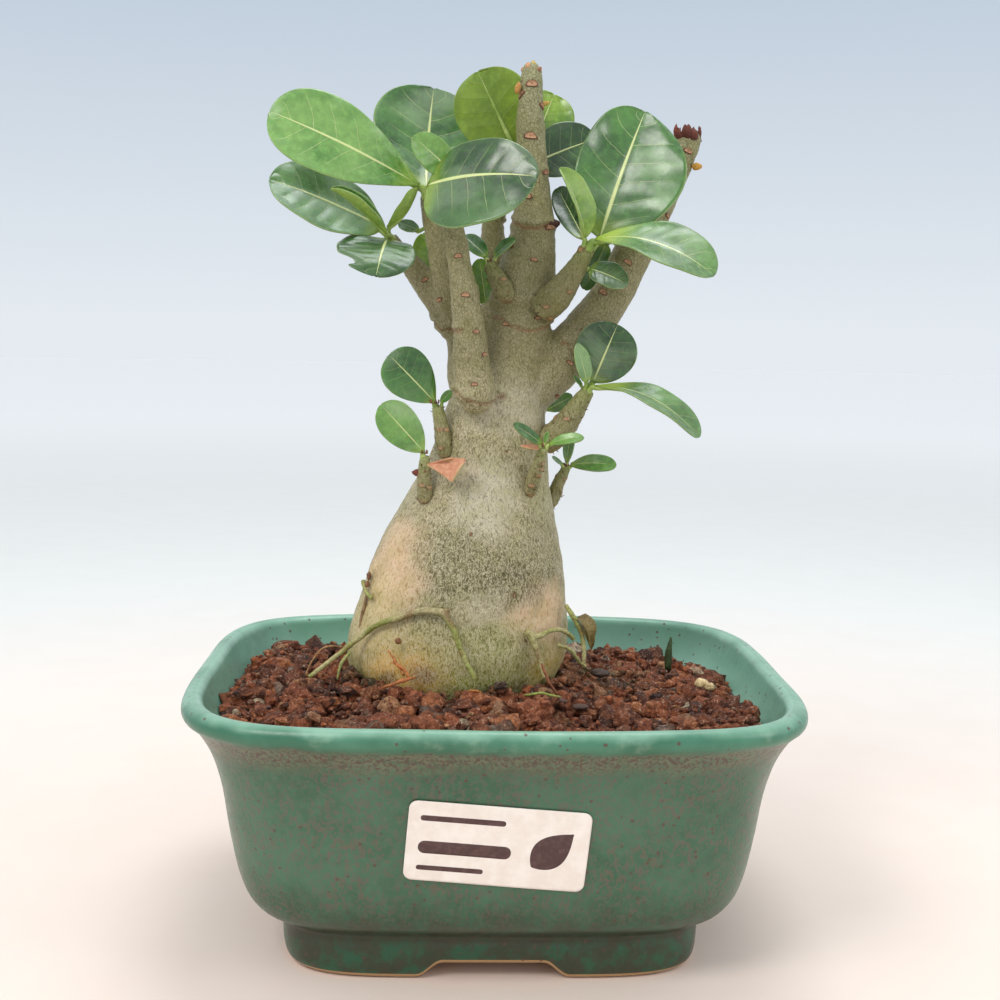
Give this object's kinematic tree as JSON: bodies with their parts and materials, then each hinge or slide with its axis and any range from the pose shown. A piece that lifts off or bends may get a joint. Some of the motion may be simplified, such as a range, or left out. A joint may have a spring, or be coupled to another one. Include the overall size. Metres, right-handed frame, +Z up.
{
  "type": "potted desert rose plant",
  "caption": "Young desert rose with a swollen trunk, cut-back branches and glossy leaves, in a teal-glazed rounded bonsai bowl of coarse red-brown soil.",
  "frame": {"origin": "centre of the bowl's underside, on the surface that the feet stand on", "axes": "+Z up, the bowl's labelled front faces -Y, +X to the right seen from the front"},
  "size_m": [0.1646, 0.1398, 0.2406],
  "materials": {
    "teal_glaze": "satin teal glaze with fine purple-brown speckles",
    "label_paper": "smooth white paper",
    "akadama_soil": "coarse crumbly grains, matt",
    "caudex_bark": "grey-green bark with fine pale cracks",
    "shoot_bark": "green-brown young bark",
    "root_skin": "smooth greenish skin",
    "leaf_mature": "glossy dark green with pale veins",
    "leaf_young": "glossy light green with pale veins",
    "leaf_dry": "papery orange-brown"
  },
  "bodies": {
    "root": {"pot": "teal_glaze", "label": "label_paper", "soil": "akadama_soil", "caudex": "caudex_bark", "shoot_top_right": "shoot_bark", "shoot_centre": "shoot_bark", "shoot_left_upper": "shoot_bark", "shoot_left_lower": "shoot_bark", "shoot_right": "shoot_bark", "shoot_front_right": "shoot_bark", "shoot_back_right": "shoot_bark", "root_front_left": "root_skin", "root_front_right": "root_skin", "root_right": "root_skin", "root_left": "root_skin", "leaf_left_large": "leaf_mature", "leaf_left_low": "leaf_mature", "leaf_left_folded": "leaf_mature", "leaf_left_notched": "leaf_mature", "leaf_left_edge": "leaf_mature", "leaf_back_dark": "leaf_mature", "leaf_small_light": "leaf_young", "leaf_front_large": "leaf_mature", "leaf_top_backlit": "leaf_young", "leaf_behind_leader": "leaf_mature", "leaf_top_bright": "leaf_young", "leaf_right_large": "leaf_mature", "leaf_lime_folded": "leaf_young", "leaf_right_drooping": "leaf_mature", "leaf_small_dark": "leaf_mature", "leaf_dark_inner": "leaf_mature", "leaf_centre_right": "leaf_mature", "leaf_centre_left": "leaf_mature", "leaf_back_hanging": "leaf_young", "leaf_back_yellow": "leaf_young", "leaf_left_bit": "leaf_mature", "leaf_low_back": "leaf_mature", "leaf_upper_shoot": "leaf_young", "leaf_upper_shoot_small": "leaf_mature", "leaf_lower_shoot": "leaf_young", "leaf_right_round": "leaf_mature", "leaf_right_lime": "leaf_young", "leaf_right_long": "leaf_mature", "leaf_right_curl": "leaf_mature", "leaf_right_dark": "leaf_mature", "leaf_front_left": "leaf_mature", "leaf_front_right": "leaf_mature", "leaf_front_tip": "leaf_young", "bract_front": "leaf_dry", "leaf_back_right": "leaf_young", "leaf_back_upright": "leaf_mature", "leaf_back_tip": "leaf_young", "leaf_dry": "leaf_dry"}
  },
  "joints": []
}
